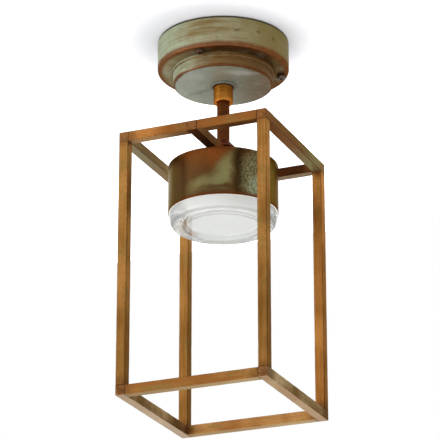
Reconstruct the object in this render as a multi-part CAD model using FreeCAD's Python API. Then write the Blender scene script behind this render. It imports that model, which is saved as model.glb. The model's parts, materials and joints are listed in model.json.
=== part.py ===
import FreeCAD, Part
import math
import os
from FreeCAD import Vector

# Porch ceiling lantern, millimetres. The ceiling is the plane z = 0 and the lantern hangs below it,
# on the Z axis. The cage's front is its -Y side.

# ---- driving sizes: the square-bar cage ----
cage_width = 160.0          # outside, the same both ways
cage_height = 277.0
bar = 10.0                  # side of the square bar
bar_arris = 0.5             # broken edge along each bar
wire_way = 3.4              # radius of the wire hole through the crossbar

# ---- ceiling rose: a turned cup with a smaller dish under it ----
rose_radius = 68.0
rose_drop = 33.0            # ceiling to the ledge
rose_wall = 2.5
rose_edge = 2.5             # worn round of the cup's lower edge
gasket_thickness = 1.5
gasket_width = 2.0
gasket_setback = 0.4        # how far the gasket stays inside the wall
ledge_width = 14.8          # cup's wall to the step above the dish
band_height = 3.8
band_edge = 0.8
band_step = 1.6             # the step stands out this far from the dish
dish_drop = 11.3            # below the band
dish_wall = 2.5
dish_floor = 3.0
dish_edge = 2.2
spigot_wall = 1.9           # the dish's neck, brazed in the cup's opening

# ---- rose screws and the pillars that they pull against ----
screw_count = 3
screw_first_angle = -90.0   # degrees from +X
screw_inset = 7.5           # screws' circle, inside the cup's wall
screw_radius = 2.5
screw_length = 16.0
screw_head_radius = 4.8
screw_head_height = 3.2
screw_socket_flats = 3.0
screw_socket_depth = 1.6
screw_seal_radius = 4.2
screw_seal_thickness = 0.8
screw_hole_clearance = 0.25
pillar_radius = 4.0
pillar_tapping_spare = 2.0  # thread left over past the screw's end

# ---- ceiling plate ----
plate_thickness = 2.0
plate_clearance = 0.6       # to the cup's wall
slot_width = 5.0
slot_length = 14.0
slot_spacing_x = 80.0
slot_spacing_y = 60.0
entry_x = -25.0             # where the house cable comes through
entry_y = -25.0
entry_radius = 5.5          # the grommet's bore
grommet_wall = 2.5
grommet_lip = 2.0
grommet_lip_thickness = 2.5
earth_x = 28.0
earth_y = 26.0
earth_radius = 2.0
earth_length = 12.0
earth_nut_flats = 7.0
earth_nut_height = 3.2

# ---- terminal block ----
block_length = 40.0
block_width = 22.0
block_height = 16.0
block_edge = 1.0
block_mouth_radius = 5.0    # the nose that the flex goes into
block_mouth_height = 5.0
block_flex_depth = 8.0      # how far the flex reaches past the nose
pole_count = 3
pole_spacing = 13.0
pole_row_spacing = 15.0
pole_screw_radius = 1.6
pole_screw_depth = 4.0
pole_screw_recess = 1.0
pole_hole_radius = 2.2
pole_hole_depth = 6.0
pole_hole_height = 6.0      # wire holes, above the block's lower face

# ---- swivel in the rose's floor ----
stem_radius = 6.5
stem_bore = 4.5
stem_spare = 2.0            # thread above the lock nut
running_fit = 0.05          # radial, stem in its bush
thrust_play = 0.1           # each side of the rose's floor
braze_gap = 0.05            # radial, pieces brazed or screwed on the stem
bush_wall = 2.5
bush_flange_radius = 13.0
bush_flange_thickness = 1.5
swivel_washer_radius = 13.7
swivel_washer_thickness = 1.7
washer_hole_clearance = 0.4
collar_radius = 10.0
collar_length = 18.0
collar_edge = 0.7
stem_visible = 50.8         # collar to cage
stop_washer_radius = 12.0
stop_washer_thickness = 1.5
stop_finger_reach = 20.0
stop_finger_width = 3.0
stop_pin_radius = 1.5
stop_pin_circle = 18.0
stop_pin_seat = 1.5         # depth of its blind hole
stop_pin_rise = 3.0         # above the finger
swivel_nut_flats = 17.0
swivel_nut_height = 5.0
lock_nut_height = 4.0

# ---- flex ----
flex_radius = 2.8
flex_clearance = 0.3

# ---- lamp housing under the crossbar ----
drum_gap = 10.3             # crossbar to drum
drum_radius = 56.2
drum_height = 51.4
drum_wall = 1.5
drum_cap = 2.5
drum_edge = 1.2
rim_line_height = 1.9       # turned line above the drum's lower edge
rim_line_depth = 0.4
nipple_shoulder_radius = 9.0
drum_gasket_thickness = 1.0
drum_gasket_radius = 11.0
nipple_clearance = 0.1
nipple_spare = 1.5
drum_washer_radius = 11.0
drum_washer_thickness = 1.2
drum_nut_height = 5.0

# ---- bridge that carries the lampholder ----
bridge_thickness = 1.5
bridge_width = 16.0
bridge_half_length = 33.0
bridge_drop = 15.5
bridge_foot = 10.0
holder_screw_radius = 1.75
holder_screw_reach = 5.0
holder_screw_head_radius = 3.0
holder_screw_head_height = 2.2

# ---- twist-lock lampholder and lamp, pins 53 mm apart ----
holder_radius = 37.0
holder_thickness = 13.2
holder_roof = 2.5
holder_tower_radius = 8.0
holder_tower_height = 4.0
pin_spacing = 53.0
pin_radius = 1.5
pin_head_radius = 2.5
pin_head_height = 2.0
pin_lift = 0.5              # pin head above the keyhole plate
keyhole_plate = 2.4
keyhole_clearance = 0.4
keyhole_head_space = 4.4
twist_angle = 15.0
contact_width = 3.0
contact_gap = 0.2
lamp_play = 0.2
lamp_radius = 37.5
lamp_height = 26.0
lamp_boss_radius = 20.5
lamp_boss_height = 8.0
lamp_boss_clearance = 0.5
lamp_back_edge = 3.0
lamp_front_edge = 1.5
diffuser_rim = 2.0
diffuser_depth = 2.2
diffuser_crown = 0.8

# ---- pressed-glass lens, screwed into the drum ----
lens_proud = 15.0           # below the drum
lens_clearance = 0.4        # radial, lens in the drum's mouth
lens_seat_depth = 3.5       # seat ring above the drum's lower edge
lens_seal_thickness = 2.0
lens_seal_play = 0.1
seat_ring_height = 8.0
neck_setback = 4.3          # radial, the lens's shoulder to its neck
neck_height = 11.0
thread_clearance = 0.35
lens_wall = 6.5             # radial, the glass of the neck
lens_floor = 5.5
lens_shoulder = 8.0
lens_inner_edge = 2.0
lens_neck_edge = 0.8

# ---- heights that follow, from the ceiling down ----
ledge_z = -rose_drop
band_z = ledge_z - band_height
dish_z = band_z - dish_drop
floor_z = dish_z + dish_floor
collar_top = dish_z - swivel_washer_thickness - thrust_play
collar_bottom = collar_top - collar_length
cage_top = collar_bottom - stem_visible
cage_bottom = cage_top - cage_height
crossbar_z = cage_top - bar
drum_top = crossbar_z - drum_gap
drum_bottom = drum_top - drum_height
bush_top = floor_z + bush_flange_thickness
stop_washer_z = bush_top + thrust_play
swivel_nut_z = stop_washer_z + stop_washer_thickness
lock_nut_z = swivel_nut_z + swivel_nut_height
stem_top = lock_nut_z + lock_nut_height + stem_spare
block_z = -plate_thickness - block_height
block_mouth_z = block_z - block_mouth_height
bridge_top = drum_top - drum_cap
drum_washer_z = bridge_top - bridge_thickness - drum_washer_thickness
drum_nut_z = drum_washer_z - drum_nut_height
nipple_end = drum_nut_z - nipple_spare
holder_top = bridge_top - bridge_drop
holder_bottom = holder_top - holder_thickness
holder_tower_z = holder_top + holder_tower_height
lamp_back = holder_bottom - lamp_play
lamp_face = lamp_back - lamp_height
lens_bottom = drum_bottom - lens_proud
seat_z = drum_bottom + lens_seat_depth
shoulder_z = seat_z - lens_seal_thickness - 2 * lens_seal_play
rim_line_z = drum_bottom + rim_line_height

# ---- radii that follow ----
cup_bore = rose_radius - rose_wall
screw_circle = rose_radius - screw_inset
band_radius = rose_radius - ledge_width
dish_radius = band_radius - band_step
spigot_radius = dish_radius - dish_wall + spigot_wall
drum_bore = drum_radius - drum_wall
lens_radius = drum_bore - lens_clearance
neck_radius = lens_radius - neck_setback
lens_bore = neck_radius - lens_wall
stem_hole = stem_radius + braze_gap
bush_radius = stem_radius + running_fit + bush_wall
grommet_radius = entry_radius + grommet_wall
pin_circle = pin_spacing / 2
half_width = cage_width / 2

UP = Vector(0, 0, 1)
AXIS = Vector(0, 0, 0)


def outline(corners):
    """Closed outline in the XZ plane through corners (radius, height, rounding)."""
    spots = [Vector(r, 0, z) for r, z, rounding in corners]
    ends = []
    arcs = []
    for i, (r, z, rounding) in enumerate(corners):
        here = spots[i]
        back = spots[i - 1] - here
        ahead = spots[(i + 1) % len(spots)] - here
        if rounding == 0:
            ends.append((here, here))
            arcs.append(None)
            continue
        half_turn = back.getAngle(ahead) / 2
        back.normalize()
        ahead.normalize()
        cut = rounding / math.tan(half_turn)
        middle = back + ahead
        middle.normalize()
        centre = here + middle * (rounding / math.sin(half_turn))
        start = here + back * cut
        finish = here + ahead * cut
        crown = centre - middle * rounding
        ends.append((start, finish))
        arcs.append(Part.Arc(start, crown, finish).toShape())
    edges = []
    for i in range(len(corners)):
        if arcs[i]:
            edges.append(arcs[i])
        leave = ends[i][1]
        arrive = ends[(i + 1) % len(corners)][0]
        if leave.distanceToPoint(arrive) > 1e-6:
            edges.append(Part.LineSegment(leave, arrive).toShape())
    return Part.Wire(edges)


def turned(corners):
    """A piece turned on the Z axis from its half outline."""
    return Part.Face(outline(corners)).revolve(AXIS, UP, 360)


def rod(radius, low, high, x=0.0, y=0.0):
    return Part.makeCylinder(radius, high - low, Vector(x, y, low))


def ring(outer, inner, low, high, x=0.0, y=0.0):
    return rod(outer, low, high, x, y).cut(rod(inner, low, high, x, y))


def block(x_low, x_high, y_low, y_high, z_low, z_high):
    size = (x_high - x_low, y_high - y_low, z_high - z_low)
    return Part.makeBox(*size, Vector(x_low, y_low, z_low))


def hexagon(flats, low, high, x=0.0, y=0.0):
    """A hexagonal prism, by its width across flats."""
    reach = flats / math.sqrt(3)
    turns = [math.radians(60 * i) for i in range(7)]
    corners = [Vector(x + reach * math.cos(t), y + reach * math.sin(t), low) for t in turns]
    return Part.Face(Part.makePolygon(corners)).extrude(Vector(0, 0, high - low))


def nut(flats, bore, low, high, x=0.0, y=0.0):
    return hexagon(flats, low, high, x, y).cut(rod(bore, low, high, x, y))


def slot(length, width, low, high, angle, x, y):
    """A round-ended slot's solid, its length turned by angle from +X."""
    reach = (length - width) / 2
    body = block(-reach, reach, -width / 2, width / 2, low, high)
    body = body.fuse(rod(width / 2, low, high, -reach)).fuse(rod(width / 2, low, high, reach))
    body.rotate(AXIS, UP, angle)
    body.translate(Vector(x, y, 0))
    return body


def arc_slot(circle, half, low, high, start, sweep):
    """A round-ended slot that follows a circle about Z."""
    sector = Part.makeCylinder(circle + half, high - low, Vector(0, 0, low), UP, sweep)
    sector = sector.cut(rod(circle - half, low, high))
    far = math.radians(sweep)
    sector = sector.fuse(rod(half, low, high, circle))
    sector = sector.fuse(rod(half, low, high, circle * math.cos(far), circle * math.sin(far)))
    sector.rotate(AXIS, UP, start)
    return sector


def around(count, first_angle):
    return [first_angle + 360.0 / count * i for i in range(count)]


def on_circle(radius, angle):
    turn = math.radians(angle)
    return radius * math.cos(turn), radius * math.sin(turn)


def save(name, *solids):
    """One file for one node; pieces that repeat share it as separate solids."""
    shape = solids[0] if len(solids) == 1 else Part.makeCompound(list(solids))
    shape.exportStep("parts/" + name + ".step")
    print(name, len(shape.Solids), "solid(s)", round(shape.Volume / 1000, 2), "cm3")


# ---- ceiling rose -------------------------------------------------------

def rose_cup():
    """The wide upper tier: wall, ledge, the dish's opening and the screw holes."""
    rim = -gasket_thickness
    opening = spigot_radius + braze_gap
    cup = turned([
        (rose_radius, rim, 0),
        (rose_radius, ledge_z, rose_edge),
        (opening, ledge_z, 0),
        (opening, ledge_z + rose_wall, 0),
        (cup_bore, ledge_z + rose_wall, 0),
        (cup_bore, rim, 0),
    ])
    for angle in around(screw_count, screw_first_angle):
        x, y = on_circle(screw_circle, angle)
        hole = screw_radius + screw_hole_clearance
        cup = cup.cut(rod(hole, ledge_z, ledge_z + rose_wall, x, y))
    return cup


def rose_dish():
    """The lower tier: step band, dish wall and the floor that carries the lantern."""
    inner = dish_radius - dish_wall
    dish = turned([
        (spigot_radius, ledge_z + rose_wall, 0),
        (spigot_radius, ledge_z, 0),
        (band_radius, ledge_z, 0),
        (band_radius, band_z, band_edge),
        (dish_radius, band_z, 0),
        (dish_radius, dish_z, dish_edge),
        (bush_radius + braze_gap, dish_z, 0),
        (bush_radius + braze_gap, floor_z, 0),
        (inner, floor_z, 1.0),
        (inner, ledge_z + rose_wall, 0),
    ])
    x, y = on_circle(stop_pin_circle, -90)
    return dish.cut(rod(stop_pin_radius + braze_gap, floor_z - stop_pin_seat, floor_z, x, y))


def rose_gasket():
    outer = rose_radius - gasket_setback
    return ring(outer, outer - gasket_width, -gasket_thickness, 0)


def ceiling_plate():
    """The fixing plate against the ceiling, with its slots, cable hole and pillar seats."""
    low = -plate_thickness
    plate = rod(cup_bore - plate_clearance, low, 0)
    for side in (-1, 1):
        plate = plate.cut(slot(slot_length, slot_width, low, 0, 0, side * slot_spacing_x / 2, 0))
        plate = plate.cut(slot(slot_length, slot_width, low, 0, 90, 0, side * slot_spacing_y / 2))
    plate = plate.cut(rod(grommet_radius + braze_gap, low, 0, entry_x, entry_y))
    return plate.cut(rod(earth_radius + braze_gap, low, 0, earth_x, earth_y))


def plate_pillars():
    """Tapped pillars, riveted to the plate, that the rose screws pull against."""
    foot = ledge_z + rose_wall
    depth = screw_length - rose_wall - screw_seal_thickness + pillar_tapping_spare
    pillars = []
    for angle in around(screw_count, screw_first_angle):
        x, y = on_circle(screw_circle, angle)
        pillar = rod(pillar_radius, foot, -plate_thickness, x, y)
        pillars.append(pillar.cut(rod(screw_radius, foot, foot + depth, x, y)))
    return pillars


def rose_screw(x, y):
    """A domed-head screw with a hexagon socket, driven up from below."""
    seat = ledge_z - screw_seal_thickness
    tip = seat + screw_length
    crown = seat - screw_head_height
    shank = screw_radius - braze_gap
    screw = turned([
        (0, tip, 0),
        (shank, tip, 0.5),
        (shank, seat, 0),
        (screw_head_radius, seat, 0),
        (screw_head_radius, seat - 0.25 * screw_head_height, 0),
        (0.72 * screw_head_radius, crown + 0.22 * screw_head_height, 1.6),
        (0.3 * screw_head_radius, crown, 0),
        (0, crown, 0),
    ])
    screw = screw.cut(hexagon(screw_socket_flats, crown, crown + screw_socket_depth))
    screw.translate(Vector(x, y, 0))
    return screw


def screw_seal(x, y):
    low = ledge_z - screw_seal_thickness
    return ring(screw_seal_radius, screw_radius, low, ledge_z, x, y)


def cable_grommet():
    """Rubber grommet in the plate, its lip below the plate only."""
    low = -plate_thickness
    lip = rod(grommet_radius + grommet_lip, low - grommet_lip_thickness, low)
    body = lip.fuse(rod(grommet_radius, low, 0))
    body = body.cut(rod(entry_radius, low - grommet_lip_thickness, 0))
    body.translate(Vector(entry_x, entry_y, 0))
    return body.removeSplitter()


def earth_terminal():
    """Earth screw through the plate, with its nut."""
    stud = rod(earth_radius, -earth_length, 0, earth_x, earth_y)
    top = -plate_thickness
    piece = nut(earth_nut_flats, earth_radius + braze_gap, top - earth_nut_height, top, earth_x, earth_y)
    return stud, piece


def terminal_block():
    """Moulded terminal block under the plate; the flex enters its nose on the lantern's axis."""
    body = block(-block_length / 2, block_length / 2, -block_width / 2, block_width / 2,
                 block_z, -plate_thickness)
    upright = [e for e in body.Edges if abs(e.tangentAt(e.FirstParameter).z) > 0.9]
    body = body.makeFillet(block_edge, upright)
    body = body.fuse(rod(block_mouth_radius, block_mouth_z, block_z))
    bore = flex_radius + flex_clearance
    body = body.cut(rod(bore, block_mouth_z, block_z + block_flex_depth + 1.0))
    for x, y in pole_places():
        body = body.cut(rod(pole_screw_radius + braze_gap, block_z, block_z + pole_screw_depth, x, y))
        side = math.copysign(1, y)
        start = Vector(x, side * (block_width / 2 - pole_hole_depth), block_z + pole_hole_height)
        body = body.cut(Part.makeCylinder(pole_hole_radius, pole_hole_depth, start, Vector(0, side, 0)))
    return body


def pole_places():
    """Where the block's terminal screws are: one on each side of every pole."""
    first = -(pole_count - 1) / 2 * pole_spacing
    columns = [first + pole_spacing * i for i in range(pole_count)]
    return [(x, side * pole_row_spacing / 2) for x in columns for side in (-1, 1)]


def pole_screw(x, y):
    low = block_z + pole_screw_recess
    head = rod(pole_screw_radius, low, block_z + pole_screw_depth, x, y)
    cut = block(x - pole_screw_radius, x + pole_screw_radius, y - 0.3, y + 0.3, low, low + 0.8)
    return head.cut(cut)


# ---- swivel -------------------------------------------------------------

def swivel_bush():
    """Nylon bush with a flange, pressed in the dish's floor; the stem turns in it."""
    bore = stem_radius + running_fit
    return turned([
        (bore, dish_z, 0),
        (bore, bush_top, 0),
        (bush_flange_radius, bush_top, 0.4),
        (bush_flange_radius, floor_z, 0),
        (bush_radius, floor_z, 0),
        (bush_radius, dish_z, 0),
    ])


def swivel_washer():
    hole = stem_radius + washer_hole_clearance
    return ring(swivel_washer_radius, hole, dish_z - swivel_washer_thickness, dish_z)


def stop_pin():
    x, y = on_circle(stop_pin_circle, -90)
    top = swivel_nut_z + stop_pin_rise
    return rod(stop_pin_radius, floor_z - stop_pin_seat, top, x, y)


def stop_washer():
    """Thrust washer fixed to the stem; its finger meets the stop pin at each end of the turn."""
    low, high = stop_washer_z, swivel_nut_z
    finger = block(-stop_finger_width / 2, stop_finger_width / 2, 0, stop_finger_reach, low, high)
    body = rod(stop_washer_radius, low, high).fuse(finger)
    return body.cut(rod(stem_hole, low, high)).removeSplitter()


def stem():
    return ring(stem_radius, stem_bore, cage_top, stem_top)


def collar():
    """Plain brass sleeve under the rose, brazed on the stem."""
    return turned([
        (stem_hole, collar_bottom, 0),
        (stem_hole, collar_top, 0),
        (collar_radius, collar_top, collar_edge),
        (collar_radius, collar_bottom, collar_edge),
    ])


def flex():
    """The supply flex from the terminal block to the lampholder, straight down the stem."""
    return rod(flex_radius, holder_top, block_z + block_flex_depth)


# ---- cage ---------------------------------------------------------------

def square_bar(x_low, x_high, y_low, y_high, z_low, z_high, along):
    """A length of square bar with its four long edges broken."""
    body = block(x_low, x_high, y_low, y_high, z_low, z_high)
    long_edges = [e for e in body.Edges if abs(e.tangentAt(e.FirstParameter).dot(along)) > 0.9]
    return body.makeChamfer(bar_arris, long_edges)


def cage_bars():
    """The twelve edges of the cage and its crossbar, butted and brazed end to face."""
    across = Vector(1, 0, 0)
    deep = Vector(0, 1, 0)
    inner = half_width - bar
    low_top = cage_bottom + bar
    bars = {}
    for side, x in (("left", -half_width), ("right", half_width - bar)):
        bars["rail_top_" + side] = square_bar(
            x, x + bar, -half_width, half_width, crossbar_z, cage_top, deep)
        bars["rail_bottom_" + side] = square_bar(
            x, x + bar, -half_width, half_width, cage_bottom, low_top, deep)
        for end, y in (("front", -half_width), ("back", half_width - bar)):
            bars["post_" + end + "_" + side] = square_bar(
                x, x + bar, y, y + bar, low_top, crossbar_z, UP)
    middle = square_bar(-bar / 2, bar / 2, -half_width, half_width, crossbar_z, cage_top, deep)
    bars["crossbar"] = middle.cut(rod(wire_way, crossbar_z, cage_top))
    for end, y in (("front", -half_width), ("back", half_width - bar)):
        bars["rail_bottom_" + end] = square_bar(
            -inner, inner, y, y + bar, cage_bottom, low_top, across)
        bars["rail_top_" + end + "_left"] = square_bar(
            -inner, -bar / 2, y, y + bar, crossbar_z, cage_top, across)
        bars["rail_top_" + end + "_right"] = square_bar(
            bar / 2, inner, y, y + bar, crossbar_z, cage_top, across)
    return bars


# ---- lamp housing -------------------------------------------------------

def drum_shell():
    """The brass drum: cap, thin wall and the turned line above its open rim."""
    hole = stem_radius + nipple_clearance
    return turned([
        (hole, drum_top, 0),
        (drum_radius, drum_top, drum_edge),
        (drum_radius, rim_line_z + rim_line_depth, 0),
        (drum_radius - rim_line_depth, rim_line_z, 0),
        (drum_radius, rim_line_z - rim_line_depth, 0),
        (drum_radius, drum_bottom, 0),
        (drum_bore, drum_bottom, 0),
        (drum_bore, bridge_top, 0),
        (hole, bridge_top, 0),
    ])


def drum_nipple():
    """Threaded tube with a shoulder, brazed under the crossbar; it carries the drum."""
    shoulder_z = drum_top + drum_gasket_thickness
    return turned([
        (stem_bore, crossbar_z, 0),
        (stem_bore, nipple_end, 0),
        (stem_radius, nipple_end, 0.5),
        (stem_radius, shoulder_z, 0),
        (nipple_shoulder_radius, shoulder_z, 0),
        (nipple_shoulder_radius, crossbar_z, 0),
    ])


def holder_bridge():
    """Pressed steel bridge, clamped under the drum's cap, with two feet on the lampholder."""
    half = bridge_width / 2
    top = block(-half, half, -bridge_half_length, bridge_half_length,
                bridge_top - bridge_thickness, bridge_top)
    body = top.cut(rod(stem_radius + nipple_clearance, bridge_top - bridge_thickness, bridge_top))
    foot_top = holder_top + bridge_thickness
    for side in (-1, 1):
        outer = side * bridge_half_length
        inner = outer - side * bridge_thickness
        leg = block(-half, half, min(outer, inner), max(outer, inner), holder_top, bridge_top)
        toe = outer - side * bridge_foot
        foot = block(-half, half, min(outer, toe), max(outer, toe), holder_top, foot_top)
        hole = holder_screw_radius + nipple_clearance
        body = body.fuse(leg).fuse(foot).cut(rod(hole, holder_top, foot_top, 0, screw_place(side)))
    return body.removeSplitter()


def screw_place(side):
    """The middle of the bridge's foot, clear of its leg."""
    return side * (bridge_half_length - (bridge_foot + bridge_thickness) / 2)


def holder_screw(side):
    seat = holder_top + bridge_thickness
    y = screw_place(side)
    shank = rod(holder_screw_radius, holder_top - holder_screw_reach, seat, 0, y)
    head = rod(holder_screw_head_radius, seat, seat + holder_screw_head_height, 0, y)
    mark = block(-0.4, 0.4, y - holder_screw_head_radius, y + holder_screw_head_radius,
                 seat + 0.6 * holder_screw_head_height, seat + holder_screw_head_height)
    return shank.fuse(head).cut(mark).removeSplitter()


def lamp_holder():
    """Twist-lock holder: a keyhole and a head space for each pin, and a recess for the lamp's boss."""
    body = rod(holder_radius, holder_bottom, holder_top)
    body = body.fuse(rod(holder_tower_radius, holder_top, holder_tower_z))
    recess = lamp_boss_radius + lamp_boss_clearance
    body = body.cut(rod(recess, holder_bottom, holder_top - holder_roof))
    body = body.cut(rod(flex_radius + flex_clearance, holder_top - 0.5, holder_tower_z))
    plate_top = holder_bottom + keyhole_plate
    head_half = pin_head_radius + keyhole_clearance
    for start in (0, 180):
        narrow = arc_slot(pin_circle, pin_radius + keyhole_clearance, holder_bottom, plate_top,
                          start, twist_angle)
        space = arc_slot(pin_circle, head_half, plate_top, plate_top + keyhole_head_space,
                         start, twist_angle)
        x, y = on_circle(pin_circle, start + twist_angle)
        body = body.cut(narrow).cut(space).cut(rod(head_half, holder_bottom, plate_top, x, y))
    for side in (-1, 1):
        y = screw_place(side)
        reach = holder_top - holder_screw_reach
        body = body.cut(rod(holder_screw_radius + braze_gap, reach, holder_top, 0, y))
    return body


def holder_contact(start):
    """Contact strip in the roof of a pin's head space."""
    roof = holder_bottom + keyhole_plate + keyhole_head_space
    low = lamp_back + pin_height() + contact_gap
    strip = Part.makeCylinder(pin_circle + contact_width / 2, roof - low, Vector(0, 0, low), UP, twist_angle)
    strip = strip.cut(rod(pin_circle - contact_width / 2, low, roof))
    strip.rotate(AXIS, UP, start)
    return strip


def pin_height():
    return lamp_play + keyhole_plate + pin_lift + pin_head_height


def lamp_pin(start):
    """Mushroom-headed contact pin on the lamp's back."""
    x, y = on_circle(pin_circle, start)
    top = lamp_back + pin_height()
    shank = rod(pin_radius, lamp_back, top - pin_head_height, x, y)
    return shank.fuse(rod(pin_head_radius, top - pin_head_height, top, x, y)).removeSplitter()


def lamp_body():
    """Flat disc lamp: boss at the back, round shoulder, rim round the diffuser."""
    diffuser_radius = lamp_radius - diffuser_rim
    return turned([
        (0, lamp_back + lamp_boss_height, 0),
        (lamp_boss_radius, lamp_back + lamp_boss_height, 1.0),
        (lamp_boss_radius, lamp_back, 0),
        (lamp_radius, lamp_back, lamp_back_edge),
        (lamp_radius, lamp_face, lamp_front_edge),
        (diffuser_radius, lamp_face, 0),
        (diffuser_radius, lamp_face + diffuser_depth, 0),
        (0, lamp_face + diffuser_depth, 0),
    ])


def lamp_diffuser():
    """Opal disc with a slightly crowned face, a part of a large sphere."""
    radius = lamp_radius - diffuser_rim - braze_gap
    tip = lamp_face - diffuser_crown
    sphere_radius = (radius ** 2 + diffuser_crown ** 2) / (2 * diffuser_crown)
    sphere = Part.makeSphere(sphere_radius, Vector(0, 0, tip + sphere_radius))
    return rod(radius, tip - diffuser_crown, lamp_face + diffuser_depth).common(sphere)


def lens_seat_ring():
    """Threaded ring brazed inside the drum's mouth."""
    return ring(drum_bore - braze_gap, neck_radius + thread_clearance, seat_z, seat_z + seat_ring_height)


def lens_seal():
    low = shoulder_z + lens_seal_play
    return ring(lens_radius, neck_radius + thread_clearance, low, low + lens_seal_thickness)


def lens():
    """Pressed-glass cup: thick floor, rounded shoulder and a neck that screws into the seat ring."""
    floor = lens_bottom + lens_floor
    neck_top = shoulder_z + neck_height
    return turned([
        (0, lens_bottom, 0),
        (lens_radius, lens_bottom, lens_shoulder),
        (lens_radius, shoulder_z, 0.6),
        (neck_radius, shoulder_z, 0),
        (neck_radius, neck_top, lens_neck_edge),
        (lens_bore, neck_top, lens_neck_edge),
        (lens_bore, floor, lens_inner_edge),
        (0, floor, 0),
    ])


# ---- write every piece --------------------------------------------------

os.makedirs("parts", exist_ok=True)

screw_spots = [on_circle(screw_circle, angle) for angle in around(screw_count, screw_first_angle)]
save("ceiling_plate", ceiling_plate())
save("plate_pillars", *plate_pillars())
save("rose_gasket", rose_gasket())
save("rose_cup", rose_cup())
save("rose_dish", rose_dish())
save("rose_screws", *[rose_screw(x, y) for x, y in screw_spots])
save("rose_screw_seals", *[screw_seal(x, y) for x, y in screw_spots])
save("cable_grommet", cable_grommet())
save("earth_terminal", *earth_terminal())
save("terminal_block", terminal_block())
save("terminal_screws", *[pole_screw(x, y) for x, y in pole_places()])
save("swivel_bush", swivel_bush())
save("swivel_washer", swivel_washer())
save("stop_pin", stop_pin())

save("stop_washer", stop_washer())
save("swivel_nut", nut(swivel_nut_flats, stem_hole, swivel_nut_z, lock_nut_z))
save("lock_nut", nut(swivel_nut_flats, stem_hole, lock_nut_z, lock_nut_z + lock_nut_height))
save("stem", stem())
save("collar", collar())
save("flex", flex())
for name, piece in cage_bars().items():
    save(name, piece)
save("drum_shell", drum_shell())
save("drum_nipple", drum_nipple())
save("drum_gasket", ring(drum_gasket_radius, stem_hole, drum_top, drum_top + drum_gasket_thickness))
save("drum_washer", ring(drum_washer_radius, stem_hole, drum_washer_z, bridge_top - bridge_thickness))
save("drum_nut", nut(swivel_nut_flats, stem_hole, drum_nut_z, drum_washer_z))
save("holder_bridge", holder_bridge())
save("holder_screws", *[holder_screw(side) for side in (-1, 1)])
save("lamp_holder", lamp_holder())
save("holder_contacts", *[holder_contact(start) for start in (0, 180)])
save("lens_seat_ring", lens_seat_ring())

save("lens_seal", lens_seal())
save("lens", lens())
save("lamp_body", lamp_body())
save("lamp_diffuser", lamp_diffuser())
save("lamp_pins", *[lamp_pin(start) for start in (0, 180)])
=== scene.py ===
# %% [markdown]
# # A porch ceiling lantern of aged brass
#
# A round rose holds the lantern to a ceiling. A short stem hangs from it, and carries a tall open
# cage of square bar with a drum-shaped lamp housing inside. A thick glass lens closes the drum.
#
# The exact solids come from CAD, as a fixed frame in metres with +Z up. This lesson dresses them:
# each visible piece gets a finer mesh in the same place, and each surface a finish made of nodes.

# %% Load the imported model
import json
import math
from functools import partial

import bmesh
import bpy
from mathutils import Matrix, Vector, noise


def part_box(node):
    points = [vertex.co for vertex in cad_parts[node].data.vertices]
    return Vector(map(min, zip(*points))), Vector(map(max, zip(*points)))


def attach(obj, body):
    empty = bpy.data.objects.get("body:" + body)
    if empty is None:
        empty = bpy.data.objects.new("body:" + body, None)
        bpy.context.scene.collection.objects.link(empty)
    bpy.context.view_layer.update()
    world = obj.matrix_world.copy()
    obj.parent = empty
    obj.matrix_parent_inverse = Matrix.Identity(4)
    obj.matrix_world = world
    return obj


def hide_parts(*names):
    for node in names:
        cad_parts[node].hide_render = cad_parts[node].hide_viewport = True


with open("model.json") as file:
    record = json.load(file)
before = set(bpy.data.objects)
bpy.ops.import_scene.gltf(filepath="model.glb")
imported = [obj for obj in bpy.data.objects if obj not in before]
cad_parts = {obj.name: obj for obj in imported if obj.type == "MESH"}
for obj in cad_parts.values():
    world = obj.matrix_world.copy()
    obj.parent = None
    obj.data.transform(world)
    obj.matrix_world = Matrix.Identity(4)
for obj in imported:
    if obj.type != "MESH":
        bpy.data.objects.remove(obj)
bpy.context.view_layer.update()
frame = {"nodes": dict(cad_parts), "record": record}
record = frame["record"]
body_of = {node: body for body, nodes in record["behaviour"]["bodies"].items() for node in nodes}
slot_of = {row["node"]: row["material_slot"] for row in record["subparts"]}
scene = bpy.context.scene
MM = 0.001

# %% [markdown]
# ## The camera
#
# The picture was taken from below, well back and with a long lens, so the cage's upright bars stay
# almost parallel. The place and the turn of the camera were solved from the cage's corners.

# %% Set the camera
CAMERA_AT = Vector((0.9501, -2.2179, -1.1384))
YAW = math.radians(23.27)       # round the lantern, from its front
PITCH = math.radians(-21.32)    # the camera looks up at it
FOCAL_LENGTH, SENSOR_WIDTH = 209.2, 36.0
back = Vector((math.sin(YAW) * math.cos(PITCH), -math.cos(YAW) * math.cos(PITCH), math.sin(PITCH)))


def new_object(name, data):
    """An object with this data, in the scene."""
    made = bpy.data.objects.new(name, data)
    scene.collection.objects.link(made)
    return made


camera = new_object("camera", bpy.data.cameras.new("camera"))
camera.data.lens = FOCAL_LENGTH
camera.data.sensor_width = SENSOR_WIDTH
camera.data.clip_start = 0.05
camera.data.clip_end = 50.0
camera.location = CAMERA_AT
camera.rotation_euler = back.to_track_quat("Z", "Y").to_euler()
scene.camera = camera
print("camera", round(CAMERA_AT.length, 3), "m from the rose")

# %% [markdown]
# ## Outlines for turned pieces
#
# The rose, the collar, the drum and the lens are round, so a half outline spun about an axis makes
# each of them. Real edges are never sharp: every corner carries its own rounding, worked out here
# as an arc that meets both sides smoothly. A point is added a little way along each flat beside an
# arc. It keeps smooth shading on the arc, so the flats stay flat.

# %% Round an outline's corners
HOLD = 0.25    # mm from an arc to its holding point


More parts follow.
